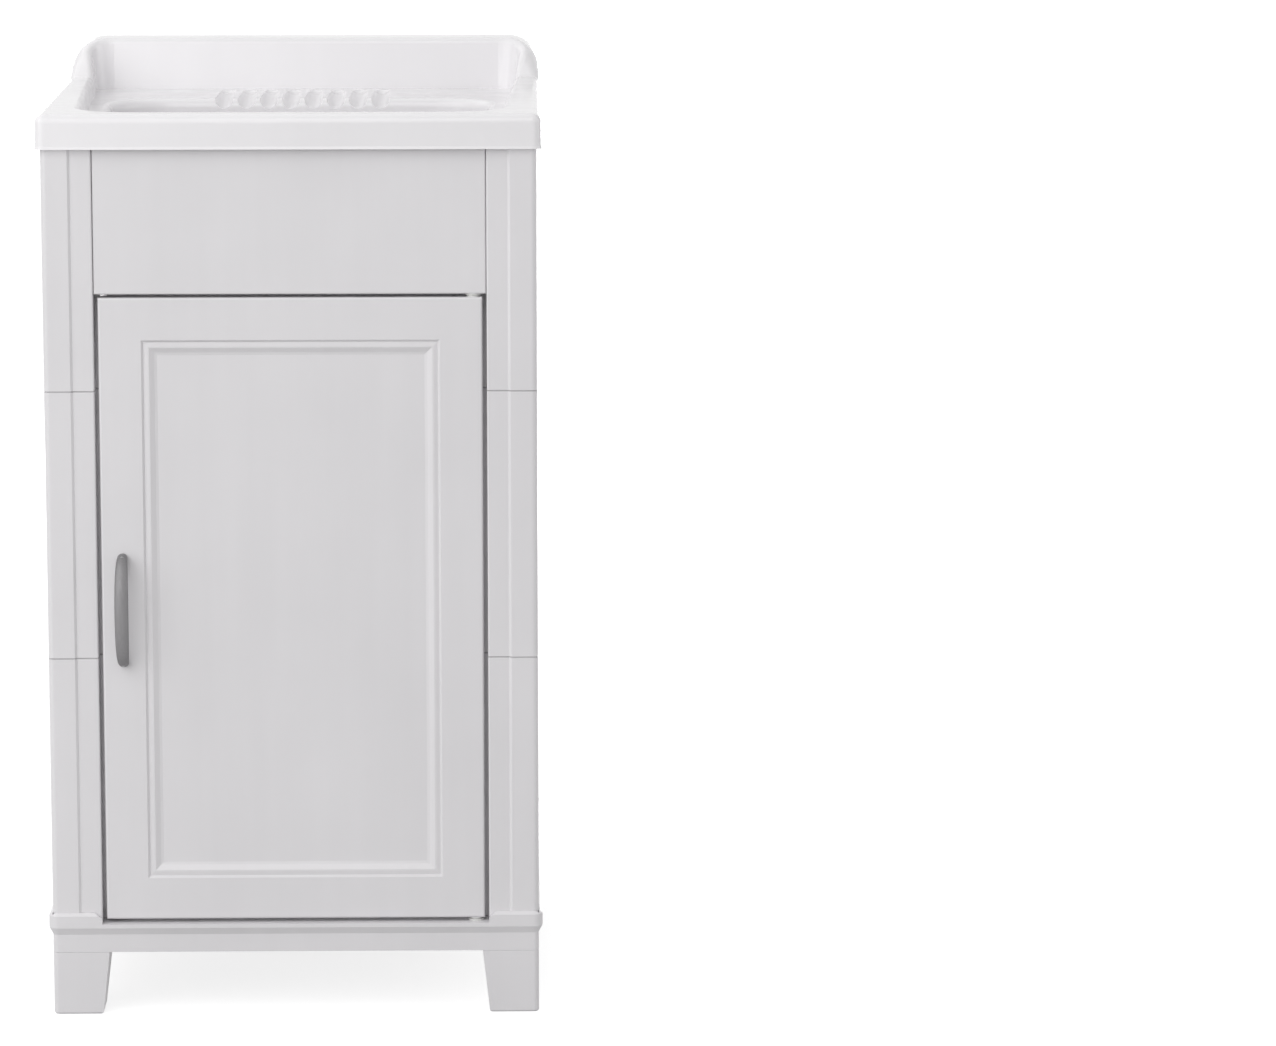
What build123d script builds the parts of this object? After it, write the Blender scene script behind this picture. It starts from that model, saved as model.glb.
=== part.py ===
from build123d import *
import os
from math import atan, cos, degrees, pi, radians, sin

# Free-standing resin wash basin: a deep moulded basin on a stacked resin cabinet
# with one door, an open back and four tapered feet.
# Millimetres, +Z up, front towards -Y. The origin is on the floor, at the middle
# of the outer box.

# Basin outline
basin_width = 450.0
basin_depth = 500.0
basin_wall = 4.0
skirt_height = 31.0
skirt_lean = 0.3
flare_reach = 0.6
flare_height = 2.6
rim_round = 8.0
rim_inner_round = 6.0

# Backsplash and its side wings
backsplash_rise = 32.0
backsplash_corner = 30.0
backsplash_depth = 52.0
wing_run = 58.0
wing_bias = 0.8
wing_sections = 7

# Tub: rim widths, the shelf round the bowl and the bowl
rim_front = 31.0
rim_side_front = 39.0
rim_side_rear = 24.0
rim_rear = 54.0
shelf_drop = 16.0
shelf_draft = 7.0
shelf_front_corner = 50.0
shelf_rear_corner = 16.0
shelf_front_width = 11.0
shelf_side_width = 10.0
ledge_depth = 112.0
bowl_depth = 204.0
bowl_draft = 4.0
bowl_corner = 50.0
bowl_bottom_round = 33.0
bowl_lip_round = 8.0

# Drip flutes in the ledge
flute_count = 8
flute_pitch = 21.0
flute_width = 13.0
flute_sag = 3.0
flute_slope = 4.0
flute_setback = 26.0

# Holes in the basin's rear wall
rear_hole_radius = 3.5
rear_hole_spacing = 250.0
rear_hole_drop = 43.0

# Support ribs under the rim
rib_count = 4
rib_margin = 70.0
rib_thickness = 4.0
rib_reach = 27.0

# Cabinet plan
skirt_overhang = 5.0
post_width = 45.0
post_proud = 25.0
post_step = 2.0
post_step_run = 2.2
post_step_round = 0.8
post_corner = 5.0
edge_round = 1.5
rear_flange_depth = 22.0
rebate_reach = 5.0
rebate_thickness = 3.0
rebate_round = 1.0
panel_thickness = 24.0
panel_wall = 3.0
field_recess = 2.0
web_count = 5
web_thickness = 2.5
tier_chamfer = 0.6

# Heights, from the floor up
foot_height = 57.6
band_height = 16.4
cove_height = 6.5
ledge_edge = 3.5
lower_tier = 244.0
middle_tier = 242.0
upper_tier = 224.0
skirt_lap = 7.0

# Spigots that locate the stacked pieces
spigot_height = 9.0
spigot_gap = 0.4
deck = 4.0

# Base tray
base_wall = 4.0
base_overhang = 3.5
floor_rise = 4.0
floor_gap = 1.0
floor_bevel = 4.0
collar_height = 10.0
collar_bevel = 2.6
collar_end_drop = 5.0
collar_end_run = 6.7
collar_gap = 0.2
base_rib_count = 3
base_rib_thickness = 3.0

# Feet
foot_top = 51.0
foot_bottom = 44.5
foot_spigot = 40.0
foot_spigot_inset = 5.0
foot_spigot_height = 14.0
foot_spigot_gap = 0.3
foot_cavity = 31.0
foot_floor = 4.0
foot_edge_round = 2.0
foot_sole_bevel = 1.5
foot_joint_bevel = 0.7

# Aprons
apron_recess = 1.5
apron_wall = 3.0
apron_depth = 14.0
apron_gap = 0.4
door_opening_height = 573.0
back_opening_height = 592.0
back_cut_rise = 8.0
back_cut_half_low = 106.0
back_cut_half_high = 96.5
tongue_reach = 8.0
tongue_thickness = 4.0
tongue_offset = 6.0
tongue_gap = 0.2
apron_top_gap = 1.0

# Wall-fixing bosses on the rear apron
boss_spacing = 250.0
boss_radius = 21.5
boss_round = 7.0
boss_hole_radius = 3.0
boss_height_above_apron_edge = 57.0

# Door
door_gap_side = 3.8
door_gap_top = 3.0
door_gap_bottom = 3.3
door_thickness = 16.0
door_swing_gap = 3.5
door_wall = 3.5
door_edge_round = 2.0
stile_width = 38.0
moulding_step = 2.2
moulding_step_run = 2.0
moulding_band = 3.4
moulding_bead = 0.7
moulding_land = 1.6
moulding_slope_run = 4.6
moulding_slope_drop = 2.7
moulding_toe_run = 2.4
moulding_toe_drop = 0.6

# Hinge
pin_radius = 4.0
pin_clearance = 0.05
pin_fit_gap = 0.02
pin_collar_radius = 6.0
pin_depth_in_door = 25.0
bush_radius = 5.5
bush_length = 11.0
bush_flange_radius = 7.0
bush_flange = 1.5
bush_fit_gap = 0.02
bush_boss_radius = 7.6
pin_end_gap = 1.0
hinge_running_gap = 0.3

# Handle
handle_spacing = 96.0
handle_projection = 28.0
handle_height = 372.0
handle_width_middle = 12.5
handle_width_end = 8.5
handle_bar = 7.0
handle_squareness = 2.3
handle_sections = 9
screw_radius = 2.0
screw_hole_gap = 0.05
screw_head_radius = 3.6
screw_head_height = 2.2
screw_head_bevel = 0.9
screw_grip = 9.0

# Door stop on the cabinet floor
stop_width = 15.0
stop_depth = 11.0
stop_height = 9.0
stop_gap = 0.3
stop_round = 3.0

# Waste set in the bowl's drain
drain_radius = 26.0
seat_radius = 38.0
seat_depth = 2.5
drain_boss_radius = 42.0
drain_boss_drop = 3.0
strainer_edge_gap = 0.6
strainer_plate = 2.0
strainer_bevel = 1.2
strainer_skirt = 7.0
strainer_skirt_gap = 1.5
strainer_skirt_wall = 1.5
strainer_hole_count = 8
strainer_hole_radius = 4.0
strainer_hole_ring = 15.0
gasket_radius = 37.0
gasket_thickness = 3.0
waste_flange = 4.0
outlet_radius = 23.9
outlet_bore = 19.5
outlet_length = 16.0
spider_thickness = 8.0
spider_arm = 4.0
spider_boss_radius = 6.0
waste_screw_radius = 3.0
waste_screw_gap = 0.1
waste_screw_head_radius = 6.0
waste_screw_head = 2.5
waste_screw_bevel = 1.0

# Modelling tolerances
touching = 0.05
rounding_slack = 0.1
overrun = 1.0

# Places that follow from the sizes above
cab_half = basin_width / 2 - skirt_overhang
front_overhang = handle_projection - skirt_overhang - post_step - apron_recess
skirt_front = (front_overhang - basin_depth) / 2
rear_plane = skirt_front + basin_depth
cab_front = skirt_front + skirt_overhang
cab_rear = rear_plane - skirt_overhang
cab_middle = (cab_front + cab_rear) / 2
opening_half = cab_half - post_width
step_x = cab_half - post_proud
panel_inner = cab_half - panel_thickness
rebate_half = opening_half - rebate_reach
front_flange_depth = apron_recess + door_thickness + door_swing_gap + rebate_thickness
door_face = cab_front + post_step + apron_recess
rear_apron_face = cab_rear - post_step - apron_recess

band_top = foot_height + band_height
ledge_top = band_top + cove_height + ledge_edge
floor_top = ledge_top + floor_rise
middle_base = ledge_top + lower_tier
upper_base = middle_base + middle_tier
panel_top = upper_base + upper_tier
skirt_bottom = panel_top - skirt_lap
rim_z = skirt_bottom + skirt_height
top_z = rim_z + backsplash_rise
wing_start = basin_depth - backsplash_depth - wing_run
shelf_z = rim_z - shelf_drop
shelf_front = skirt_front + rim_front
shelf_rear = rear_plane - rim_rear
shelf_half_front = basin_width / 2 - rim_side_front
shelf_half_rear = basin_width / 2 - rim_side_rear
bowl_front = shelf_front + shelf_front_width
bowl_rear = shelf_rear - ledge_depth
bowl_half = shelf_half_front - shelf_side_width
bowl_bottom = rim_z - bowl_depth
drain_y = (bowl_front + bowl_rear) / 2
front_apron_bottom = ledge_top + door_opening_height
rear_apron_bottom = ledge_top + back_opening_height
apron_top = panel_top - apron_top_gap

door_half = opening_half - door_gap_side
door_bottom = ledge_top + door_gap_bottom
door_top = front_apron_bottom - door_gap_top
door_back = door_face + door_thickness
hinge_x = door_half - door_thickness / 2
hinge_y = door_face + door_thickness / 2
handle_x = -(door_half - stile_width / 2)
floor_front = door_back + door_swing_gap


def block(x_low, x_high, y_low, y_high, z_low, z_high):
    """Box between two corners."""
    size = (x_high - x_low, y_high - y_low, z_high - z_low)
    middle = ((x_low + x_high) / 2, (y_low + y_high) / 2, (z_low + z_high) / 2)
    return Pos(*middle) * Box(*size)


def rod(x, y, z_low, z_high, radius):
    """Upright cylinder between two heights."""
    return Pos(x, y, (z_low + z_high) / 2) * Cylinder(radius, z_high - z_low)


def plan_rectangle(half_x, y_low, y_high, corner):
    """Rounded rectangle in plan, centred on X."""
    return Pos(0, (y_low + y_high) / 2) * RectangleRounded(2 * half_x, y_high - y_low, corner)


def raised(sketch, z_low, amount, taper=0.0):
    """Plan sketch extruded upwards from a height."""
    return extrude(Pos(0, 0, z_low) * sketch, amount, taper=taper)


def corners_near(sketch, points):
    """Corners of a sketch at the given points."""
    return [sketch.vertices().sort_by_distance((x, y, 0))[0] for x, y in points]


def closed_outline(points):
    """Face inside a closed line through the points."""
    return make_face(Polyline(*points, close=True))


# Side panels: three stacked hollow tiers a side, each with two corner posts

def panel_outline(with_notch=True):
    """Right-hand panel in plan. The notch is the space between its inner flanges."""
    step_out = step_x + post_step_run / 2
    step_in = step_x - post_step_run / 2
    front_flange = cab_front + post_step
    rear_flange = cab_rear - post_step
    outer = [
        (cab_half, cab_front),
        (cab_half, cab_front + post_width),
        (cab_half - field_recess, cab_front + post_width + field_recess),
        (cab_half - field_recess, cab_rear - post_width - field_recess),
        (cab_half, cab_rear - post_width),
        (cab_half, cab_rear),
        (step_out, cab_rear),
        (step_in, rear_flange),
        (opening_half, rear_flange),
    ]
    rebate_back = front_flange + front_flange_depth
    notch = [
        (opening_half, rear_flange - rear_flange_depth),
        (panel_inner, rear_flange - rear_flange_depth),
        (panel_inner, rebate_back),
        (rebate_half, rebate_back),
        (rebate_half, rebate_back - rebate_thickness),
        (opening_half, rebate_back - rebate_thickness),
    ]
    front = [(opening_half, front_flange), (step_in, front_flange), (step_out, cab_front)]
    if not with_notch:
        return closed_outline(outer + front)
    outline = closed_outline(outer + notch + front)
    outline = fillet(corners_near(outline, [outer[0], outer[5]]), post_corner)
    outline = fillet(corners_near(outline, [notch[3], notch[4]]), rebate_round)
    outline = fillet(corners_near(outline, [outer[6], front[2]]), post_step_round)
    return fillet(corners_near(outline, [outer[8], notch[0], front[0]]), edge_round)


def panel_cells(solid_flanges):
    """Hollow cells of a panel in plan, front to rear."""
    hollow = offset(panel_outline(), -panel_wall, kind=Kind.INTERSECTION)
    if solid_flanges:
        flange_zone = panel_inner + panel_wall
        hollow = hollow - Pos(flange_zone / 2, cab_middle) * Rectangle(flange_zone, basin_depth)
    span_front = cab_front + post_step + front_flange_depth
    span_rear = cab_rear - post_step - rear_flange_depth
    pitch = (span_rear - span_front) / (web_count - 1)
    for index in range(web_count):
        web_y = span_front + index * pitch
        hollow = hollow - Pos(cab_half, web_y) * Rectangle(2 * post_width, web_thickness)
    return hollow.faces().sort_by(Axis.Y)


def panel_spigots(z_low, solid_flanges):
    """Locating spigots that rise into the end cells of the panel above."""
    cells = panel_cells(solid_flanges)
    spigots = []
    for cell in (cells[0], cells[-1]):
        spigots.append(raised(offset(cell, -spigot_gap, kind=Kind.INTERSECTION), z_low, spigot_height))
    return spigots


def side_panel(z_low, tier, is_top=False):
    """One tier on the right-hand side: open below, decked above."""
    body = raised(panel_outline(), z_low, tier)
    ends = body.faces().filter_by(Axis.Z)
    body = chamfer([edge for face in ends for edge in face.outer_wire().edges()], tier_chamfer)
    for cell in panel_cells(is_top):
        body -= raised(cell, z_low, tier - deck)
    if is_top:
        return body - apron_slots()
    for spigot in panel_spigots(z_low + tier, z_low + tier >= upper_base):
        body += spigot
    return body


def apron_slots():
    """Grooves in the upper panel's flanges that the apron tongues drop into."""
    reach = tongue_reach + tongue_gap
    half = tongue_thickness / 2 + tongue_gap
    front_y = door_face + tongue_offset + tongue_thickness / 2
    rear_y = rear_apron_face - tongue_offset - tongue_thickness / 2
    slots = []
    for slot_y, bottom in ((front_y, front_apron_bottom), (rear_y, rear_apron_bottom)):
        low = bottom + apron_wall - tongue_gap
        slots.append(block(0, opening_half + reach, slot_y - half, slot_y + half, low, top_z))
    return slots


# Aprons: shallow trays that close the front and the back below the basin

def apron_tray(outline):
    """Tray in the XZ plane, its face at Y 0 and its walls running towards +Y."""
    standing = Plane.XZ * outline
    shell = extrude(standing, -apron_depth)
    face_edges = shell.faces().sort_by(Axis.Y)[0].edges()
    shell = fillet(face_edges, edge_round)
    inside = Plane.XZ.offset(-apron_wall) * offset(outline, -apron_wall, kind=Kind.INTERSECTION)
    shell -= extrude(inside, -apron_depth)
    for side in (-1, 1):
        tip = side * (opening_half + tongue_reach)
        root = side * (opening_half - apron_gap - apron_wall)
        y_low = tongue_offset
        bottom = outline.bounding_box().min.Y + apron_wall
        shell += block(min(tip, root), max(tip, root), y_low, y_low + tongue_thickness, bottom, apron_top)
    return shell


def front_apron():
    half = opening_half - apron_gap
    outline = closed_outline([
        (-half, front_apron_bottom),
        (half, front_apron_bottom),
        (half, apron_top),
        (-half, apron_top),
    ])
    tray = Pos(0, door_face, 0) * apron_tray(outline)
    boss_top = front_apron_bottom + bush_length
    tray += rod(hinge_x, hinge_y, front_apron_bottom, boss_top, bush_boss_radius)
    return tray - rod(hinge_x, hinge_y, 0, boss_top + bush_length, bush_radius + bush_fit_gap)


def rear_apron():
    half = opening_half - apron_gap
    cut_top = rear_apron_bottom + back_cut_rise
    outline = closed_outline([
        (-half, rear_apron_bottom),
        (-back_cut_half_low, rear_apron_bottom),
        (-back_cut_half_high, cut_top),
        (back_cut_half_high, cut_top),
        (back_cut_half_low, rear_apron_bottom),
        (half, rear_apron_bottom),
        (half, apron_top),
        (-half, apron_top),
    ])
    tray = Pos(0, rear_apron_face, 0) * Rot(0, 0, 180) * apron_tray(outline)
    boss_z = rear_apron_bottom + boss_height_above_apron_edge
    boss_length = rear_plane - rear_apron_face
    for side in (-1, 1):
        boss = Cylinder(boss_radius, boss_length, align=(Align.CENTER, Align.CENTER, Align.MIN))
        boss = fillet(boss.edges().sort_by(Axis.Z)[-1], min(boss_round, 0.9 * boss_length))
        place = Plane((side * boss_spacing / 2, rear_apron_face, boss_z), z_dir=(0, 1, 0))
        tray += place * boss
        tray -= place * Cylinder(boss_hole_radius, 4 * boss_length)
    return tray


# Base tray: the cabinet floor, the ledge round it and the collars that hold the panels

def base_collars():
    """Raised rim outside each panel, bevelled on top and at its open ends."""
    ledge = base_ledge_plan()
    collars = []
    collar_top = ledge_top + collar_height
    for side in (-1, 1):
        keep_x = side * (opening_half + basin_width / 2)
        keep = Pos(keep_x, cab_middle) * Rectangle(basin_width, 2 * basin_depth)
        panel = offset(panel_outline(with_notch=False), collar_gap, kind=Kind.INTERSECTION)
        if side < 0:
            panel = mirror(panel, about=Plane.YZ)
        collar = raised(ledge & keep, ledge_top, collar_height)
        outer_top = [
            edge
            for edge in collar.edges().group_by(Axis.Z)[-1]
            if abs(edge.center().X) > opening_half + collar_bevel
        ]
        collar = chamfer(outer_top, collar_bevel)
        collar -= raised(panel, ledge_top - overrun, collar_height + 2 * overrun)
        inner = side * opening_half
        end_low = collar_top - collar_end_drop
        wedge = closed_outline([
            (inner - side * collar_end_run, end_low - collar_end_drop),
            (inner + side * collar_end_run * 2, end_low + 2 * collar_end_drop),
            (inner - side * collar_end_run, end_low + 2 * collar_end_drop),
        ])
        collar -= extrude(Plane.XZ * wedge, basin_depth, both=True)
        collars.append(collar)
    return collars


def base_ledge_plan():
    return plan_rectangle(
        cab_half + base_overhang,
        cab_front - base_overhang,
        cab_rear + base_overhang,
        post_corner + base_overhang,
    )


def foot_corners():
    """Outer corner of each foot, with the directions that point inwards."""
    return {
        "front_left_foot": (-cab_half, cab_front, 1, 1),
        "front_right_foot": (cab_half, cab_front, -1, 1),
        "rear_left_foot": (-cab_half, cab_rear, 1, -1),
        "rear_right_foot": (cab_half, cab_rear, -1, -1),
    }


def corner_block(corner, inset, size, z_low, z_high):
    """Square block near a foot corner."""
    x, y, inward_x, inward_y = corner
    near_x = x + inward_x * inset
    near_y = y + inward_y * inset
    far_x = near_x + inward_x * size
    far_y = near_y + inward_y * size
    return block(
        min(near_x, far_x), max(near_x, far_x), min(near_y, far_y), max(near_y, far_y), z_low, z_high
    )


def base():
    band_plan = plan_rectangle(cab_half, cab_front, cab_rear, post_corner)
    tray = raised(band_plan, foot_height, band_height)
    tray += raised(band_plan, band_top, cove_height, taper=-degrees(atan(base_overhang / cove_height)))
    tray += raised(base_ledge_plan(), band_top + cove_height, ledge_edge)
    floor_half = panel_inner - floor_gap
    floor = block(-floor_half, floor_half, floor_front, cab_rear, ledge_top - base_wall, floor_top)
    rear_edge = floor.edges().filter_by(Axis.X).sort_by(Axis.Z)[-2:].sort_by(Axis.Y)[-1]
    floor = chamfer(rear_edge, floor_bevel - rounding_slack)
    front_notch = cab_front + post_step + front_flange_depth + floor_gap
    rear_notch = cab_rear - post_step - rear_flange_depth - floor_gap
    for side in (-1, 1):
        outer = side * basin_width
        inner = side * (rebate_half - floor_gap)
        floor -= block(min(inner, outer), max(inner, outer), cab_front, front_notch, ledge_top, top_z)
        inner = side * (opening_half - floor_gap)
        floor -= block(min(inner, outer), max(inner, outer), rear_notch, cab_rear, ledge_top, top_z)
    tray += floor
    tray += base_collars()
    hollow = plan_rectangle(
        cab_half - base_wall, cab_front + base_wall, cab_rear - base_wall, post_corner
    )
    tray -= raised(hollow, foot_height, ledge_top - base_wall - foot_height)
    under_floor = plan_rectangle(
        opening_half - base_wall - rear_flange_depth,
        floor_front + base_wall,
        rear_notch - floor_bevel - base_wall,
        post_corner,
    )
    tray -= raised(under_floor, foot_height, floor_top - base_wall - foot_height)
    rib_low = foot_height + base_wall
    rib_high = ledge_top - overrun
    for index in range(1, base_rib_count + 1):
        rib_x = -cab_half + index * 2 * cab_half / (base_rib_count + 1)
        rib_y = cab_front + index * (cab_rear - cab_front) / (base_rib_count + 1)
        half = base_rib_thickness / 2
        tray += block(rib_x - half, rib_x + half, cab_front + overrun, cab_rear - overrun, rib_low, rib_high)
        tray += block(overrun - cab_half, cab_half - overrun, rib_y - half, rib_y + half, rib_low, rib_high)
    for corner in foot_corners().values():
        tray += corner_block(corner, base_wall / 2, foot_top - base_wall / 2, foot_height, rib_high)
        tray -= corner_block(
            corner,
            foot_spigot_inset - foot_spigot_gap,
            foot_spigot + 2 * foot_spigot_gap,
            foot_height,
            foot_height + foot_spigot_height + foot_spigot_gap,
        )
    for spigot in panel_spigots(ledge_top - deck / 2, False):
        lifted = Pos(0, 0, deck / 2) * spigot + spigot
        tray += lifted
        tray += mirror(lifted, about=Plane.YZ)
    bush_low = ledge_top - bush_length
    tray += rod(hinge_x, hinge_y, bush_low, ledge_top, bush_boss_radius)
    return tray - rod(hinge_x, hinge_y, bush_low - overrun, ledge_top + overrun, bush_radius + bush_fit_gap)


def foot(corner):
    """Tapered foot: upright on its two outer faces, drawn in on the two inner ones."""
    x, y, inward_x, inward_y = corner

    def taper_face(start, inward):
        return closed_outline([
            (start, 0),
            (start + inward * foot_bottom, 0),
            (start + inward * foot_top, foot_height),
            (start, foot_height),
        ])

    body = extrude(Plane.XZ * taper_face(x, inward_x), 2 * basin_depth, both=True)
    body &= extrude(Plane.YZ * taper_face(y, inward_y), 2 * basin_width, both=True)
    outer_point = (x, y, foot_height / 2)
    body = fillet(body.edges().sort_by_distance(outer_point)[0], post_corner)
    inner_point = (x + inward_x * foot_bottom, y + inward_y * foot_bottom, foot_height / 2)
    body = fillet(body.edges().sort_by_distance(inner_point)[0], foot_edge_round)
    body = chamfer(body.faces().sort_by(Axis.Z)[0].edges(), foot_sole_bevel)
    body = chamfer(body.faces().sort_by(Axis.Z)[-1].edges(), foot_joint_bevel)
    spigot_top = foot_height + foot_spigot_height
    body += corner_block(corner, foot_spigot_inset, foot_spigot, foot_height - overrun, spigot_top)
    cavity_inset = foot_spigot_inset + (foot_spigot - foot_cavity) / 2
    return body - corner_block(corner, cavity_inset, foot_cavity, foot_floor, spigot_top + overrun)


# Basin: one thin moulding, open underneath

def basin_section(depth, crown, corner, inset):
    """Upright cross-section of the basin's outside at a depth, or of the space inside it."""
    half = basin_width / 2 - flare_reach - inset
    lean = skirt_lean * (crown - skirt_bottom) / skirt_height
    low = skirt_bottom - (skirt_height if inset else 0)
    outline = closed_outline([
        (half, low),
        (half - lean, crown - inset),
        (lean - half, crown - inset),
        (-half, low),
    ])
    outline = fillet(outline.vertices().group_by(Axis.Y)[-1], max(corner - inset, edge_round))
    return Plane((0, skirt_front + depth, 0), x_dir=(1, 0, 0), z_dir=(0, -1, 0)) * outline


def basin_envelope(inset=0.0):
    """Outside of the basin, or the space under it when inset by the wall."""
    stations = []
    for index in range(wing_sections):
        along = index / (wing_sections - 1)
        eased = along**wing_bias
        climb = eased * eased * (3 - 2 * eased)
        depth = wing_start + along * wing_run
        corner = rim_round + climb * (backsplash_corner - rim_round)
        stations.append(basin_section(depth, rim_z + climb * backsplash_rise, corner, inset))
    front = extrude(stations[0], wing_start - flare_reach - inset)
    rear = extrude(stations[-1], inset - backsplash_depth)
    if not inset:
        front = fillet(upper_edges(front.faces().sort_by(Axis.Y)[0]), rim_round - rounding_slack)
        rear = fillet(upper_edges(rear.faces().sort_by(Axis.Y)[-1]), rim_round)
    return front + loft(stations) + rear


def skirt_flare():
    """Slight outward slope along the skirt's lower edge at the front and the sides."""
    plan = plan_rectangle(basin_width / 2, skirt_front, rear_plane - flare_reach, rim_round + flare_reach)
    slope = degrees(atan(flare_reach / flare_height))
    return raised(plan, skirt_bottom, flare_height + overrun, taper=slope)


def upper_edges(face):
    """Edges of an upright end face, without the one along the skirt's bottom."""
    return face.edges().filter_by(lambda edge: edge.center().Z > skirt_bottom + edge_round)


def shelf_space(wall=0.0):
    """Space above the shelf round the bowl, grown by the wall for its outside."""
    front_corners = [(-shelf_half_front, shelf_front), (shelf_half_front, shelf_front)]
    rear_corners = [(shelf_half_rear, shelf_rear), (-shelf_half_rear, shelf_rear)]
    outline = closed_outline(front_corners + rear_corners)
    outline = fillet(corners_near(outline, front_corners), shelf_front_corner)
    outline = fillet(corners_near(outline, rear_corners), shelf_rear_corner)
    if wall:
        outline = offset(outline, wall)
    height = top_z + shelf_drop - shelf_z + wall
    return raised(outline, shelf_z - wall, height, taper=-shelf_draft)


def bowl_space(wall=0.0):
    """Bowl below the shelf, grown by the wall for its outside."""
    outline = plan_rectangle(bowl_half + wall, bowl_front - wall, bowl_rear + wall, bowl_corner + wall)
    depth = shelf_z - bowl_bottom + wall
    bowl = extrude(Pos(0, 0, shelf_z) * outline, -depth, taper=bowl_draft)
    return fillet(bowl.faces().sort_by(Axis.Z)[0].edges(), bowl_bottom_round + wall)


def flutes(wall=0.0):
    """Grooves that carry drips from the ledge into the bowl."""
    radius = flute_width**2 / (8 * flute_sag) + flute_sag / 2
    axis_z = shelf_z - flute_sag + radius
    y_rear = shelf_rear - flute_setback
    length = y_rear - bowl_rear + flute_width
    slope = radians(flute_slope)
    from_rear = (Align.CENTER, Align.CENTER, Align.MIN)
    grooves = []
    for index in range(flute_count):
        x = (index - (flute_count - 1) / 2) * flute_pitch
        line = Plane((x, y_rear, axis_z), z_dir=(0, -cos(slope), -sin(slope)))
        grooves.append(line * Cylinder(radius + wall, length, align=from_rear))
        grooves.append(Pos(x, y_rear, axis_z) * Sphere(radius + wall))
    return grooves


def basin():
    envelope = basin_envelope()
    shell = envelope + skirt_flare() - basin_envelope(basin_wall)
    rib_pitch = (basin_depth - 2 * rib_margin) / (rib_count - 1)
    for index in range(rib_count):
        rib_y = skirt_front + rib_margin + index * rib_pitch
        for side in (-1, 1):
            outer = side * (basin_width / 2 - basin_wall)
            inner = outer - side * rib_reach
            shell += block(
                min(inner, outer),
                max(inner, outer),
                rib_y - rib_thickness / 2,
                rib_y + rib_thickness / 2,
                panel_top,
                rim_z - basin_wall + overrun,
            )
    shell += shelf_space(basin_wall) & envelope
    shell += bowl_space(basin_wall)
    under_shelf = block(-basin_width, basin_width, skirt_front, rear_plane, skirt_bottom, shelf_z)
    shell += [groove & under_shelf for groove in flutes(basin_wall)]
    boss_low = bowl_bottom - basin_wall - drain_boss_drop
    shell += rod(0, drain_y, boss_low, bowl_bottom, drain_boss_radius)

    shelf = shelf_space()
    bowl = bowl_space()
    space = shelf + bowl
    space = fillet(bowl_lip_edges(space, bowl), bowl_lip_round)
    shell -= space
    shell = fillet(rim_inner_edges(shell, envelope, shelf), rim_inner_round)
    shell -= flutes()
    shell -= rod(0, drain_y, bowl_bottom - seat_depth, bowl_bottom + seat_depth, seat_radius)
    shell -= rod(0, drain_y, boss_low - overrun, bowl_bottom, drain_radius)
    for side in (-1, 1):
        hole_z = top_z - rear_hole_drop
        place = Plane((side * rear_hole_spacing / 2, rear_plane, hole_z), z_dir=(0, 1, 0))
        shell -= place * Cylinder(rear_hole_radius, 6 * basin_wall)
    return shell


def bowl_lip_edges(space, bowl):
    """Loop where the bowl opens into the shelf."""
    loop = []
    for edge in space.edges():
        middle = edge.position_at(0.5)
        if abs(middle.Z - shelf_z) < touching and bowl.distance_to(middle) < touching:
            loop.append(edge)
    return loop


def rim_inner_edges(shell, envelope, shelf):
    """Loop where the shelf's walls come out through the rim, the wings and the backsplash."""
    lift = Vector(0, 0, rim_inner_round / 10)
    loop = []
    for edge in shell.edges():
        middle = edge.position_at(0.5)
        if middle.Z < rim_z - touching:
            continue
        on_top = envelope.is_inside(middle - lift) and not envelope.is_inside(middle + lift)
        if on_top and shelf.distance_to(middle) < touching:
            loop.append(edge)
    return loop


# Door: a single-wall panel with a lip all round and a bored bar along its hinge edge

def door():
    mid_z = (door_bottom + door_top) / 2
    panel = block(-door_half, door_half, door_face, door_back, door_bottom, door_top)
    hinge_edges = panel.edges().filter_by(Axis.Z).sort_by(Axis.X)[2:]
    front_edges = panel.faces().sort_by(Axis.Y)[0].edges()
    panel = fillet(front_edges + hinge_edges.sort_by(Axis.Y)[-1:], door_edge_round)
    panel -= block(
        -door_half + door_wall,
        hinge_x - door_thickness / 2,
        door_face + door_wall,
        door_back + overrun,
        door_bottom + door_wall,
        door_top - door_wall,
    )

    frame_width = 2 * (door_half - stile_width)
    frame_height = door_top - door_bottom - 2 * stile_width
    valley = moulding_step_run
    crest = valley + moulding_band
    brow = crest + moulding_land
    toe = brow + moulding_slope_run
    field = toe + moulding_toe_run
    crest_depth = moulding_step - moulding_bead
    toe_depth = crest_depth + moulding_slope_drop
    field_depth = toe_depth + moulding_toe_drop

    def frustum(y, grow, *rings):
        """Solid between two rectangles parallel to the door's face, each given by inset and depth."""
        faces = []
        for inset, depth in rings:
            plane = Plane((0, y + depth, mid_z), x_dir=(1, 0, 0), z_dir=(0, 1, 0))
            outline = Rectangle(frame_width - 2 * inset + grow, frame_height - 2 * inset + grow)
            faces.append(plane * outline)
        return loft(faces, ruled=True)

    def moulding(y, grow):
        """Sinking with a step, a low flat-topped bead and a slope that eases into the field."""
        step = frustum(y, grow, (0, 0), (valley, moulding_step))
        bead = frustum(y, grow, (valley, moulding_step), (crest, crest_depth))
        slope = frustum(y, grow, (brow, crest_depth), (toe, toe_depth))
        return step - bead + slope + frustum(y, grow, (toe, toe_depth), (field, field_depth))

    panel += moulding(door_face + door_wall, door_wall)
    panel -= moulding(door_face, 0)
    panel -= rod(hinge_x, hinge_y, door_bottom - overrun, door_top + overrun, pin_radius + pin_fit_gap)
    for place in handle_screw_places(door_face):
        panel -= place * Cylinder(screw_radius + screw_hole_gap, 2 * door_thickness)
    return panel


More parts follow.
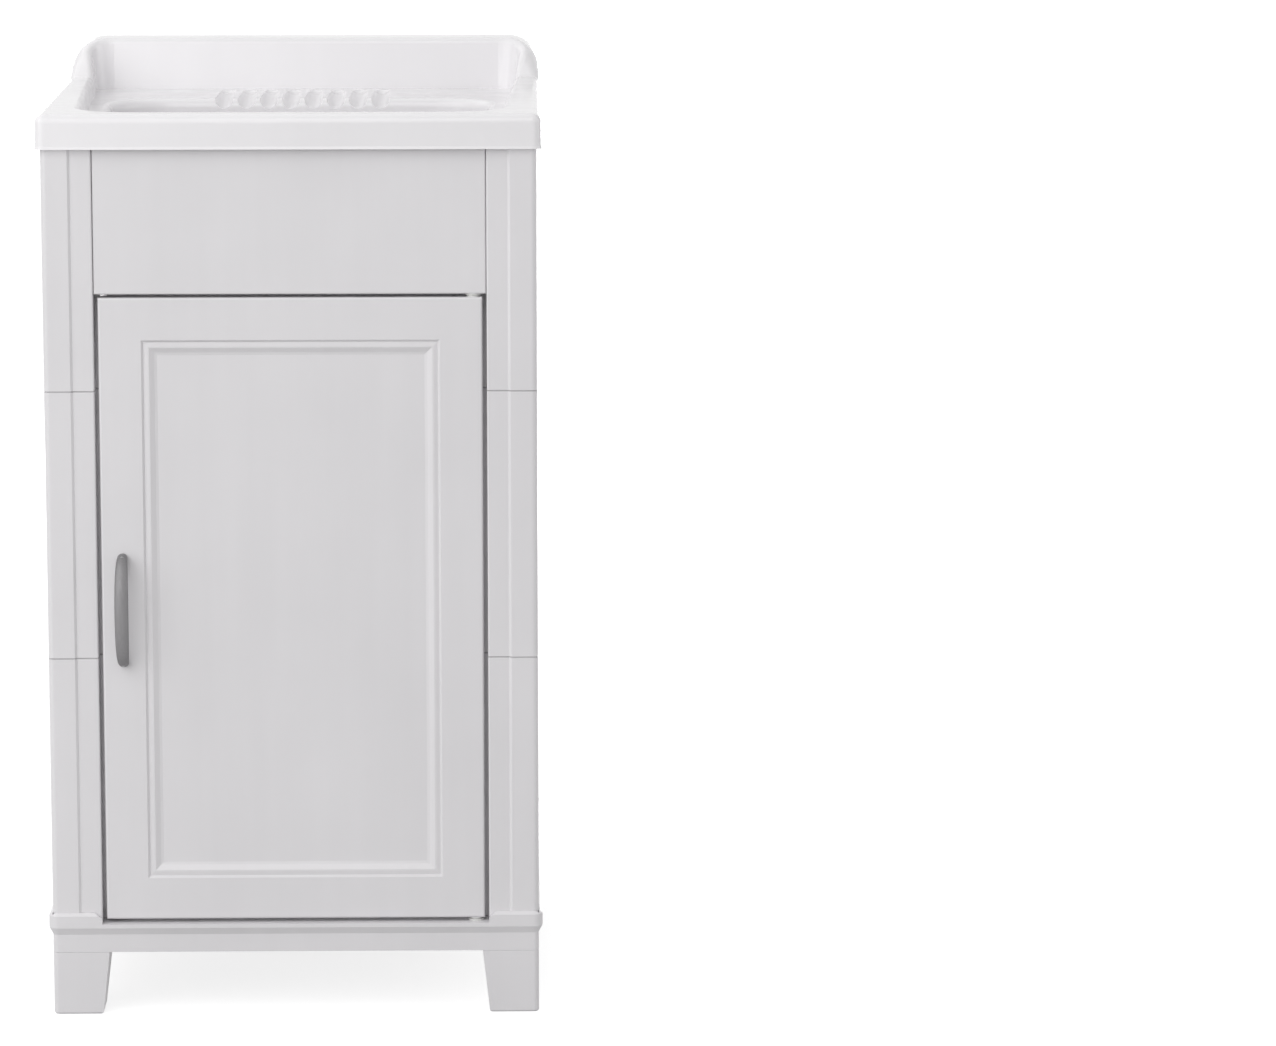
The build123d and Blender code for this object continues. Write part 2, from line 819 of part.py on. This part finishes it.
def handle_screw_places(y):
    """Planes on the two handle screws' axes, facing the back of the door."""
    places = []
    for side in (-1, 1):
        z = handle_height + side * handle_spacing / 2
        places.append(Plane((handle_x, y, z), x_dir=(1, 0, 0), z_dir=(0, 1, 0)))
    return places


def handle():
    """Bow handle: oval sections along half a squared ellipse from foot to foot."""
    half = handle_spacing / 2
    reach = handle_projection - handle_bar / 2
    power = handle_squareness
    sections = []
    for index in range(handle_sections):
        angle = pi * index / (handle_sections - 1)
        along = abs(cos(angle)) ** (2 / power) * (1 if cos(angle) > 0 else -1)
        out = abs(sin(angle)) ** (2 / power)
        normal_z = abs(along) ** (power - 1) / half * (1 if along > 0 else -1)
        normal_out = out ** (power - 1) / reach
        width = handle_width_end + (handle_width_middle - handle_width_end) * out
        place = Plane(
            (handle_x, door_face - reach * out, handle_height + half * along),
            x_dir=(1, 0, 0),
            z_dir=(0, -normal_z, -normal_out),
        )
        sections.append(place * Ellipse(width / 2, handle_bar / 2))
    bow = loft(sections)
    for place in handle_screw_places(door_face):
        bow -= place * Cylinder(screw_radius + screw_hole_gap, 2 * (screw_grip + overrun))
    return bow


def handle_screws():
    """Two pan-head screws that hold the handle from inside the door."""
    screws = []
    for place in handle_screw_places(door_face + door_wall):
        bottom_up = (Align.CENTER, Align.CENTER, Align.MIN)
        top_down = (Align.CENTER, Align.CENTER, Align.MAX)
        head = Cylinder(screw_head_radius, screw_head_height, align=bottom_up)
        head = chamfer(head.edges().sort_by(Axis.Z)[-1], screw_head_bevel)
        screws.append(place * (head + Cylinder(screw_radius, door_wall + screw_grip, align=top_down)))
    return Compound(children=screws)


# Hinge: a pin in each end of the door's bored edge, turning in a flanged bush

def hinge_pin(z_end, z_collar, z_door, z_inside):
    """Pin from its free end to inside the door, with a collar in the gap."""
    pin = rod(hinge_x, hinge_y, min(z_end, z_inside), max(z_end, z_inside), pin_radius)
    return pin + rod(hinge_x, hinge_y, min(z_collar, z_door), max(z_collar, z_door), pin_collar_radius)


def bottom_hinge_pin():
    end = ledge_top - bush_length + pin_end_gap
    collar = ledge_top + bush_flange + hinge_running_gap
    return hinge_pin(end, collar, door_bottom, door_bottom + pin_depth_in_door)


def top_hinge_pin():
    end = front_apron_bottom + bush_length - pin_end_gap
    collar = front_apron_bottom - bush_flange - hinge_running_gap
    return hinge_pin(end, collar, door_top, door_top - pin_depth_in_door)


def hinge_bush(z_seat, outward):
    """Bush whose flange lies on a seat, with its body running away from the door."""
    z_body = z_seat - outward * bush_length
    z_flange = z_seat + outward * bush_flange
    bush = rod(hinge_x, hinge_y, min(z_body, z_seat), max(z_body, z_seat), bush_radius)
    bush += rod(hinge_x, hinge_y, min(z_seat, z_flange), max(z_seat, z_flange), bush_flange_radius)
    low = min(z_body, z_flange) - overrun
    high = max(z_body, z_flange) + overrun
    return bush - rod(hinge_x, hinge_y, low, high, pin_radius + pin_clearance)


def door_stop():
    """Small block on the cabinet floor that the door's free edge closes against."""
    x_low = floor_gap - rebate_half
    y_low = door_back + stop_gap
    body = block(
        x_low, x_low + stop_width, y_low, y_low + stop_depth, floor_top, floor_top + stop_height
    )
    top_edges = body.faces().sort_by(Axis.Z)[-1].edges()
    return fillet(top_edges.filter_by(Axis.Y) + top_edges.sort_by(Axis.Y)[-1:], stop_round)


# Waste set: strainer in the bowl, gasket and body below, clamped by one screw

seat_z = bowl_bottom - seat_depth
gasket_top = bowl_bottom - basin_wall - drain_boss_drop
gasket_low = gasket_top - gasket_thickness
waste_flange_low = gasket_low - waste_flange
outlet_low = waste_flange_low - outlet_length


def ring(z_low, z_high, radius, bore):
    return rod(0, drain_y, z_low, z_high, radius) - rod(0, drain_y, z_low - overrun, z_high + overrun, bore)


def waste_strainer():
    plate = rod(0, drain_y, seat_z, seat_z + strainer_plate, seat_radius - strainer_edge_gap)
    plate = chamfer(plate.edges().sort_by(Axis.Z)[-1], strainer_bevel)
    skirt_radius = drain_radius - strainer_skirt_gap
    plate += ring(seat_z - strainer_skirt, seat_z, skirt_radius, skirt_radius - strainer_skirt_wall)
    hole_low = seat_z - strainer_skirt
    hole_high = seat_z + 2 * strainer_plate
    for index in range(strainer_hole_count):
        angle = 2 * pi * index / strainer_hole_count
        hole_x = strainer_hole_ring * cos(angle)
        hole_y = drain_y + strainer_hole_ring * sin(angle)
        plate -= rod(hole_x, hole_y, hole_low, hole_high, strainer_hole_radius)
    return plate - rod(0, drain_y, hole_low, hole_high, waste_screw_radius + waste_screw_gap)


def waste_screw():
    head_low = seat_z + strainer_plate
    head = rod(0, drain_y, head_low, head_low + waste_screw_head, waste_screw_head_radius)
    head = chamfer(head.edges().sort_by(Axis.Z)[-1], waste_screw_bevel)
    return head + rod(0, drain_y, waste_flange_low - spider_thickness, head_low, waste_screw_radius)


def waste_gasket():
    return ring(gasket_low, gasket_top, gasket_radius, drain_radius)


def waste_body():
    body = rod(0, drain_y, waste_flange_low, gasket_low, gasket_radius)
    body += rod(0, drain_y, outlet_low, waste_flange_low, outlet_radius)
    body -= rod(0, drain_y, outlet_low - overrun, gasket_low + overrun, outlet_bore)
    spider_low = waste_flange_low - spider_thickness
    body += rod(0, drain_y, spider_low, waste_flange_low, spider_boss_radius)
    for angle in (0, 60, 120):
        arm = Box(2 * outlet_bore + overrun, spider_arm, spider_thickness)
        body += Pos(0, drain_y, (spider_low + waste_flange_low) / 2) * Rot(0, 0, angle) * arm
    hole_radius = waste_screw_radius + waste_screw_gap
    return body - rod(0, drain_y, spider_low - overrun, waste_flange_low + overrun, hole_radius)


# All pieces, one file each

pieces = {
    "basin": basin(),
    "front_apron": front_apron(),
    "rear_apron": rear_apron(),
    "base": base(),
    "door": door(),
    "handle": handle(),
    "handle_screws": handle_screws(),
    "top_hinge_pin": top_hinge_pin(),
    "bottom_hinge_pin": bottom_hinge_pin(),
    "top_hinge_bush": hinge_bush(front_apron_bottom, -1),
    "bottom_hinge_bush": hinge_bush(ledge_top, 1),
    "door_stop": door_stop(),
    "waste_strainer": waste_strainer(),
    "waste_screw": waste_screw(),
    "waste_gasket": waste_gasket(),
    "waste_body": waste_body(),
}
for name, corner in foot_corners().items():
    pieces[name] = foot(corner)
for tier_name, z_low, tier in (
    ("lower", ledge_top, lower_tier),
    ("middle", middle_base, middle_tier),
    ("upper", upper_base, upper_tier),
):
    right = side_panel(z_low, tier, tier_name == "upper")
    pieces["right_panel_" + tier_name] = right
    pieces["left_panel_" + tier_name] = mirror(right, about=Plane.YZ)

os.makedirs("parts", exist_ok=True)
for name, piece in pieces.items():
    export_step(piece, f"parts/{name}.step")
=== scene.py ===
import bmesh
import bpy
import math
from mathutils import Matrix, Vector


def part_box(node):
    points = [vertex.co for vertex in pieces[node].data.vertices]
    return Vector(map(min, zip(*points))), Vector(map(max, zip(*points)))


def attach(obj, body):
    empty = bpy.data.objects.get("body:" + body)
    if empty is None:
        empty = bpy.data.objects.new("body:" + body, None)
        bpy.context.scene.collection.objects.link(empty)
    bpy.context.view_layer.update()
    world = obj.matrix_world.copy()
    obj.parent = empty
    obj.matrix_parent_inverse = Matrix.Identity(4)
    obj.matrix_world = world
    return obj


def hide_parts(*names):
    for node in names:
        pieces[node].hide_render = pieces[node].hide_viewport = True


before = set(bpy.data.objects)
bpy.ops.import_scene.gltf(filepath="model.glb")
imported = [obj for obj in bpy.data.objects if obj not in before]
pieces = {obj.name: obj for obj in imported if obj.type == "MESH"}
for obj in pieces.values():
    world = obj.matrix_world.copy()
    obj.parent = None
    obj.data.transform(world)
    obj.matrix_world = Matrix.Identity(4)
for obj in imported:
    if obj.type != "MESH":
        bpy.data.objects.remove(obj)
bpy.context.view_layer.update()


# Feet. Four hollow feet of white resin, each with two tapered inner faces and a square
# spigot that is pushed up into a corner of the base. The mould leaves a fine satin grain.

def add_node(tree, kind, inputs=None, **settings):
    """New shader node with its settings, and its sockets set to values or joined to other nodes."""
    made = tree.nodes.new("ShaderNode" + kind)
    for setting, value in settings.items():
        setattr(made, setting, value)
    for socket, value in (inputs or {}).items():
        if isinstance(value, bpy.types.NodeSocket):
            tree.links.new(value, made.inputs[socket])
        else:
            made.inputs[socket].default_value = value
    return made


def noise(tree, place, per_metre, detail=2.0, stretch=(1, 1, 1)):
    """Noise in the object's own metres, drawn out along an axis if asked."""
    scaled = add_node(tree, "Mapping", {"Vector": place, "Scale": stretch}).outputs["Vector"]
    made = add_node(tree, "TexNoise", {"Vector": scaled, "Scale": per_metre, "Detail": detail})
    return made.outputs["Fac"]


def spread(tree, value, low, high):
    """A noise value, most of which lies near the middle, stretched over a range."""
    usual_low = 0.3
    usual_high = 0.7
    limits = {"From Min": usual_low, "From Max": usual_high, "To Min": low, "To Max": high}
    return add_node(tree, "MapRange", {"Value": value, **limits}).outputs["Result"]


def shaded(tree, colour, shade):
    """A colour made lighter or darker by a factor."""
    made = add_node(tree, "VectorMath", {0: colour, "Scale": shade}, operation="SCALE")
    return made.outputs["Vector"]


def new_finish(name):
    """Material with its node tree, and the object's own coordinates to paint it by."""
    material = bpy.data.materials.new(name)
    material.use_nodes = True
    tree = material.node_tree
    return material, tree, add_node(tree, "TexCoord").outputs["Object"]


def join_finish(tree, colour, roughness, relief):
    """Joins colour, roughness and relief to the material's shader."""
    shader = tree.nodes["Principled BSDF"]
    tree.links.new(colour, shader.inputs["Base Color"])
    tree.links.new(roughness, shader.inputs["Roughness"])
    tree.links.new(relief.outputs["Normal"], shader.inputs["Normal"])


def moulded_resin(name, colour, roughness, grain_size, grain_depth, clouding=0.02):
    """Pigmented resin: faint clouding and flow lines, a mould grain and hand smudges in the gloss."""
    clouds_per_metre = 7.0
    flow_lines_per_metre = 45.0
    flow_stretch = (1, 1, 0.06)
    smudges_per_metre = 18.0
    smudging = 0.05
    waves_per_metre = 9.0
    wave_depth = 0.0003
    wave_strength = 0.35
    material, tree, place = new_finish(name)

    clouds = spread(tree, noise(tree, place, clouds_per_metre), 1 - clouding, 1 + clouding)
    flow_lines = noise(tree, place, flow_lines_per_metre, stretch=flow_stretch)
    flow = spread(tree, flow_lines, 1 - clouding / 2, 1 + clouding / 2)
    shade = add_node(tree, "Math", {0: clouds, 1: flow}, operation="MULTIPLY").outputs["Value"]

    smudges = noise(tree, place, smudges_per_metre, detail=4.0)
    gloss = spread(tree, smudges, roughness - smudging, roughness + smudging)

    waves = noise(tree, place, waves_per_metre, detail=1.0)
    wavy = add_node(tree, "Bump", {"Height": waves, "Distance": wave_depth, "Strength": wave_strength})
    grain = noise(tree, place, 1 / grain_size)
    grainy = add_node(
        tree, "Bump", {"Height": grain, "Distance": grain_depth, "Normal": wavy.outputs["Normal"]}
    )
    join_finish(tree, shaded(tree, colour, shade), gloss, grainy)
    return material


def finish_piece(name, material):
    """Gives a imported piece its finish."""
    mesh = pieces[name].data
    mesh.materials.clear()
    mesh.materials.append(material)


cabinet_white = (0.735, 0.722, 0.738)
cabinet_resin = moulded_resin(
    "cabinet_resin", cabinet_white, roughness=0.40, grain_size=0.0009, grain_depth=0.00005
)
for end in ("front", "rear"):
    for side in ("left", "right"):
        finish_piece(f"{end}_{side}_foot", cabinet_resin)


# Base. One resin moulding: a band and a cove under the ledge, the cabinet floor, and low
# collars that the side panels stand in. Ribs underneath keep the floor flat.

finish_piece("base", cabinet_resin)


# Side panels. Three hollow resin tiers a side, stacked on spigots, with the corner posts
# moulded on. The joints between the tiers get fine lines of painted shade in the panels' colour.

def painted_joint_shade(name, resin, heights, line_width, painted_shade):
    """Copy of a resin with painted shade: a darker line along each level joint."""
    material = resin.copy()
    material.name = name
    tree = material.node_tree
    base_colour = tree.nodes["Principled BSDF"].inputs["Base Color"]
    tint = base_colour.links[0].from_socket
    place = add_node(tree, "TexCoord").outputs["Object"]
    height = add_node(tree, "SeparateXYZ", {"Vector": place}).outputs["Z"]
    edges = {"From Min": line_width / 4, "From Max": line_width / 2}
    shades = {"To Min": painted_shade, "To Max": 1.0}
    for joint in heights:
        above = add_node(tree, "Math", {0: height, 1: joint}, operation="SUBTRACT").outputs["Value"]
        away = add_node(tree, "Math", {0: above}, operation="ABSOLUTE").outputs["Value"]
        shade = add_node(tree, "MapRange", {"Value": away, **edges, **shades}).outputs["Result"]
        tint = shaded(tree, tint, shade)
    tree.links.new(tint, base_colour)
    return material


tier_joints = [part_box(f"left_panel_{tier}")[0].z for tier in ("middle", "upper")]
# Painted shade: the panels' colour is darker in a thin line at each tier joint.
panel_resin = painted_joint_shade(
    "panel_resin", cabinet_resin, tier_joints, line_width=0.0018, painted_shade=0.7
)
for side in ("left", "right"):
    for tier in ("lower", "middle", "upper"):
        finish_piece(f"{side}_panel_{tier}", panel_resin)


# Aprons. Shallow resin trays that slide down between the upper panels, one above the door
# and one at the back. The rear one has two domed bosses for the wall screws.

finish_piece("front_apron", cabinet_resin)
finish_piece("rear_apron", cabinet_resin)


# Basin. A deep bowl, ledge, rim and backsplash in one resin moulding with a 4 mm wall. It is
# glossier than the cabinet and hangs over the panels by its skirt.

basin_white = (0.83, 0.817, 0.833)
basin_resin = moulded_resin(
    "basin_resin", basin_white, roughness=0.16, grain_size=0.004, grain_depth=0.00004, clouding=0.012
)
finish_piece("basin", basin_resin)


# Waste set. A steel strainer and its screw clamp the bowl's drain hole down on a rubber
# gasket and a resin body, whose threaded outlet takes a trap.

def brushed_metal(name, colour, metallic, roughness, stretch=(1, 1, 1)):
    """Satin metal with fine brush marks, drawn out along an axis if asked."""
    marks_per_metre = 900.0
    mark_shades = (0.93, 1.05)
    mark_depth = 0.00001
    smudges_per_metre = 60.0
    gloss_range = (roughness - 0.05, roughness + 0.07)
    material, tree, place = new_finish(name)
    tree.nodes["Principled BSDF"].inputs["Metallic"].default_value = metallic
    marks = noise(tree, place, marks_per_metre, detail=3.0, stretch=stretch)
    tint = shaded(tree, colour, spread(tree, marks, *mark_shades))
    smudges = noise(tree, place, smudges_per_metre, detail=3.0)
    relief = add_node(tree, "Bump", {"Height": marks, "Distance": mark_depth})
    join_finish(tree, tint, spread(tree, smudges, *gloss_range), relief)
    return material


def soft_rubber(name, colour):
    """Matt rubber with a dusty bloom and a fine grain."""
    blooms_per_metre = 120.0
    bloom_shades = (0.8, 1.3)
    smudges_per_metre = 90.0
    gloss_range = (0.6, 0.8)
    grains_per_metre = 1500.0
    grain_depth = 0.00005
    material, tree, place = new_finish(name)
    bloom = noise(tree, place, blooms_per_metre, detail=4.0)
    tint = shaded(tree, colour, spread(tree, bloom, *bloom_shades))
    smudges = noise(tree, place, smudges_per_metre, detail=3.0)
    grain = noise(tree, place, grains_per_metre)
    relief = add_node(tree, "Bump", {"Height": grain, "Distance": grain_depth})
    join_finish(tree, tint, spread(tree, smudges, *gloss_range), relief)
    return material


def new_piece(name, mesh_maker, material, body):
    """Object from a filled bmesh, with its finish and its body."""
    shape = bmesh.new()
    mesh_maker(shape)
    bmesh.ops.recalc_face_normals(shape, faces=shape.faces)
    mesh = bpy.data.meshes.new(name)
    shape.to_mesh(mesh)
    shape.free()
    mesh.materials.append(material)
    made = bpy.data.objects.new(name, mesh)
    bpy.context.scene.collection.objects.link(made)
    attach(made, body)
    return made


def bridge(shape, rings):
    """Skin over closed rings of points, capped at both ends."""
    loops = [[shape.verts.new(point) for point in ring] for ring in rings]
    for near, far in zip(loops, loops[1:]):
        for corner in range(len(near)):
            beyond = (corner + 1) % len(near)
            shape.faces.new((near[corner], near[beyond], far[beyond], far[corner]))
    shape.faces.new(loops[0])
    shape.faces.new(reversed(loops[-1]))


def cross_headed_screw(shape, seat, across, outward, head, shank):
    """Domed screw head with a tapered cross recess, on a plain shank.

    Head and shank are (radius, length). The head's flat side lies at the seat, the dome
    looks outward, and across is any direction along the flat side."""
    side = outward.cross(across)
    head_radius, head_height = head
    shank_radius, shank_length = shank
    steps = 48
    dome_steps = 9
    dome_fullness = 0.6
    recess_reach = 0.56 * head_radius
    recess_half = 0.13 * head_radius
    recess_depth = 0.75 * head_height
    rim_growth = 1.04
    floor_reach = 0.6
    floor_half = 0.7

    def around(radius, height):
        ring = []
        for step in range(steps):
            turn = 2 * math.pi * step / steps
            spoke = across * math.cos(turn) + side * math.sin(turn)
            ring.append(seat + spoke * radius + outward * height)
        return ring

    def cross(reach, half, height):
        """Plus-shaped ring with as many points as the round ones, each near its own angle."""
        ring = []
        for step in range(steps):
            turn = 2 * math.pi * step / steps
            along, aside = math.cos(turn), math.sin(turn)
            long_way = max(abs(along), abs(aside))
            short_way = min(abs(along), abs(aside))
            stretch = reach / long_way
            if short_way * stretch > half:
                stretch = half / short_way
            ring.append(seat + (across * along + side * aside) * stretch + outward * height)
        return ring

    rings = [around(shank_radius, -shank_length), around(shank_radius, 0), around(head_radius, 0)]
    for step in range(1, dome_steps):
        lift = step / dome_steps * math.pi / 2
        dome_radius = head_radius * math.cos(lift) ** dome_fullness
        rings.append(around(dome_radius, head_height * math.sin(lift)))
    rings.append(around(recess_reach * rim_growth, head_height))
    rings.append(cross(recess_reach, recess_half, head_height))
    recess_floor = head_height - recess_depth
    rings.append(cross(recess_reach * floor_reach, recess_half * floor_half, recess_floor))
    bridge(shape, rings)


strainer_grey = (0.50, 0.50, 0.51)
strainer_steel = brushed_metal("strainer_steel", strainer_grey, metallic=1.0, roughness=0.27)
finish_piece("waste_strainer", strainer_steel)
gasket_black = (0.03, 0.03, 0.032)
finish_piece("waste_gasket", soft_rubber("gasket_rubber", gasket_black))
waste_white = (0.76, 0.76, 0.75)
waste_resin = moulded_resin(
    "waste_resin", waste_white, roughness=0.32, grain_size=0.002, grain_depth=0.00003
)
finish_piece("waste_body", waste_resin)

waste_low, waste_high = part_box("waste_body")
drain_middle = (waste_low + waste_high) / 2
screw_low, screw_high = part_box("waste_screw")
waste_screw_head_radius = 0.006
waste_screw_head_height = 0.0025
waste_screw_radius = 0.003
waste_screw_length = screw_high.z - screw_low.z - waste_screw_head_height
waste_screw_seat = Vector((drain_middle.x, drain_middle.y, screw_high.z - waste_screw_head_height))


def waste_screw_mesh(shape):
    """The screw in the middle of the strainer, head up."""
    cross_headed_screw(
        shape,
        waste_screw_seat,
        across=Vector((1, 0, 0)),
        outward=Vector((0, 0, 1)),
        head=(waste_screw_head_radius, waste_screw_head_height),
        shank=(waste_screw_radius, waste_screw_length),
    )


waste_screw = new_piece(
    "waste_screw_cross", waste_screw_mesh, strainer_steel, "cabinet"
)
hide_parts("waste_screw")

waste_flange = 0.004
outlet_radius = 0.0239
outlet_top = waste_high.z - waste_flange
thread_pitch = 0.003
thread_height = 0.001
thread_margin = 0.0015
thread_root = 0.0002


def outlet_thread_mesh(shape):
    """One ridge wound round the outlet, thinning away at both ends."""
    steps_per_turn = 72
    fade_steps = 12
    foot_share = 0.36
    crest_share = 0.12
    low = waste_low.z + thread_margin
    turns = (outlet_top - low - 2 * thread_margin) / thread_pitch
    count = round(turns * steps_per_turn)
    root = outlet_radius - thread_root
    rings = []
    for step in range(count + 1):
        turn = 2 * math.pi * step / steps_per_turn
        height = low + thread_pitch * step / steps_per_turn
        swell = min(1, step / fade_steps, (count - step) / fade_steps)
        crest = outlet_radius + thread_height * swell
        profile = (
            (root, -foot_share),
            (crest, -crest_share),
            (crest, crest_share),
            (root, foot_share),
        )
        rings.append([
            Vector((
                drain_middle.x + radius * math.cos(turn),
                drain_middle.y + radius * math.sin(turn),
                height + share * thread_pitch,
            ))
            for radius, share in profile
        ])
    bridge(shape, rings)


new_piece("outlet_thread", outlet_thread_mesh, waste_resin, "cabinet")


# Hinge bushes. Two flanged nylon bushes, one in the base and one in the front apron,
# that the door's pins turn in.

bush_white = (0.70, 0.70, 0.68)
bush_nylon = moulded_resin(
    "bush_nylon", bush_white, roughness=0.38, grain_size=0.002, grain_depth=0.00002
)
finish_piece("top_hinge_bush", bush_nylon)
finish_piece("bottom_hinge_bush", bush_nylon)


# Door stop. A small dark rubber block on the floor, behind the door's free corner.

stop_grey = (0.055, 0.055, 0.058)
finish_piece("door_stop", soft_rubber("stop_rubber", stop_grey))


# Door. One resin panel with a lip all round and a stepped moulding pressed through it,
# so the same frame shows on both faces. It hangs on a nylon pin at each end.

finish_piece("door", cabinet_resin)
pin_white = (0.78, 0.78, 0.77)
hinge_nylon = moulded_resin(
    "hinge_nylon", pin_white, roughness=0.30, grain_size=0.002, grain_depth=0.00002
)
finish_piece("top_hinge_pin", hinge_nylon)
finish_piece("bottom_hinge_pin", hinge_nylon)


# Handle. A bow of grey satin metal, brushed along its length and held by two steel screws
# from inside the door.

handle_grey = (0.225, 0.220, 0.226)
handle_brushing = (1, 1, 0.04)
handle_metal = brushed_metal(
    "handle_metal", handle_grey, metallic=0.35, roughness=0.50, stretch=handle_brushing
)
finish_piece("handle", handle_metal)

screw_grey = (0.50, 0.50, 0.51)
screw_steel = brushed_metal("screw_steel", screw_grey, metallic=1.0, roughness=0.35)
screws_low, screws_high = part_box("handle_screws")
screw_head_radius = (screws_high.x - screws_low.x) / 2
screw_head_height = 0.0022
screw_radius = 0.002
screw_length = screws_high.y - screws_low.y - screw_head_height


def handle_screw_mesh(shape):
    """Both screws, heads towards the back of the door."""
    middle = (screws_low.x + screws_high.x) / 2
    for height in (screws_low.z + screw_head_radius, screws_high.z - screw_head_radius):
        cross_headed_screw(
            shape,
            Vector((middle, screws_high.y - screw_head_height, height)),
            across=Vector((1, 0, 0)),
            outward=Vector((0, 1, 0)),
            head=(screw_head_radius, screw_head_height),
            shank=(screw_radius, screw_length),
        )


handle_screws = new_piece(
    "handle_screws_cross", handle_screw_mesh, screw_steel, "door"
)
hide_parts("handle_screws")


# Studio floor. A wide pale sheet under the object that fades to white and keeps a soft
# shadow round the feet.

def seen_rays(tree):
    """One for rays from the camera and off gloss or through glass, nought for all others."""
    rays = add_node(tree, "LightPath").outputs
    seen = rays["Is Camera Ray"]
    for kind in ("Is Glossy Ray", "Is Transmission Ray"):
        seen = add_node(tree, "Math", {0: seen, 1: rays[kind]}, operation="MAXIMUM").outputs["Value"]
    return seen


white = (1, 1, 1, 1)
floor_side = 80
floor_grey = (0.5, 0.5, 0.5, 1)
floor_fade = {"From Min": 0.5, "From Max": 2.4, "To Min": 0.78, "To Max": 1.0}

bpy.ops.mesh.primitive_plane_add(size=floor_side)
floor = bpy.context.object
floor.name = "studio_floor"
floor_paint, floor_tree, floor_place = new_finish("floor_paint")
floor_tree.nodes.remove(floor_tree.nodes["Principled BSDF"])
distance = add_node(floor_tree, "VectorMath", {0: floor_place}, operation="LENGTH").outputs["Value"]
fade = add_node(
    floor_tree, "MapRange", {"Value": distance, **floor_fade}, interpolation_type="SMOOTHSTEP"
).outputs["Result"]
glow = add_node(floor_tree, "Math", {0: seen_rays(floor_tree), 1: fade}, operation="MULTIPLY")
lit_floor = add_node(floor_tree, "BsdfDiffuse", {"Color": floor_grey})
white_floor = add_node(
    floor_tree, "Emission", {"Color": white, "Strength": glow.outputs["Value"]}
)
both = add_node(floor_tree, "AddShader", {0: lit_floor.outputs[0], 1: white_floor.outputs[0]})
floor_tree.links.new(both.outputs[0], floor_tree.nodes["Material Output"].inputs["Surface"])
floor.data.materials.append(floor_paint)


# Studio light. A large soft box in front on the left, one at the right side, one above the
# basin, a long low strip behind for the open back, and an even white room.

def soft_box(name, place, aim, width, height, power):
    """Rectangular area lamp that faces a point."""
    lamp = bpy.data.lights.new(name, "AREA")
    lamp.shape = "RECTANGLE"
    lamp.size = width
    lamp.size_y = height
    lamp.energy = power
    made = bpy.data.objects.new(name, lamp)
    made.location = place
    made.rotation_euler = (Vector(aim) - Vector(place)).to_track_quat("-Z", "Y").to_euler()
    bpy.context.scene.collection.objects.link(made)


object_middle = (0, 0, 0.45)
rim_middle = (0, 0, 0.8)
back_middle = (0, 0, 0.4)
soft_box("key_light", (-1.8, -2.6, 2.1), object_middle, width=4.6, height=4.6, power=108)
soft_box("side_light", (3.2, -0.4, 1.5), object_middle, width=2.2, height=2.2, power=20)
soft_box("top_light", (-0.9, 0.9, 2.9), rim_middle, width=3.2, height=3.2, power=16)
soft_box("back_light", (0.9, 2.8, 0.4), back_middle, width=4.6, height=0.76, power=44)

room_levels = {"To Min": 0.40, "To Max": 1.0}
world = bpy.data.worlds.new("white_room")
bpy.context.scene.world = world
world.use_nodes = True
room_tree = world.node_tree
room = room_tree.nodes["Background"]
room.inputs["Color"].default_value = white
room_level = add_node(room_tree, "MapRange", {"Value": seen_rays(room_tree), **room_levels})
room_tree.links.new(room_level.outputs["Result"], room.inputs["Strength"])
bpy.context.scene.view_settings.view_transform = "Standard"


# Camera. A long lens a little to the right of the object and above it, dipped towards
# the floor and turned right, so the object stands in the left part of the picture.

camera_data = bpy.data.cameras.new("camera")
camera_data.sensor_width = 36.0
camera_data.lens = 158.4
camera = bpy.data.objects.new("camera", camera_data)
camera.location = (0.205, -5.2, 1.274)
camera_dip = math.radians(9.42)
camera_turn = math.radians(-1.21)
camera.rotation_euler = (math.pi / 2 - camera_dip, 0, camera_turn)
bpy.context.scene.collection.objects.link(camera)
bpy.context.scene.camera = camera
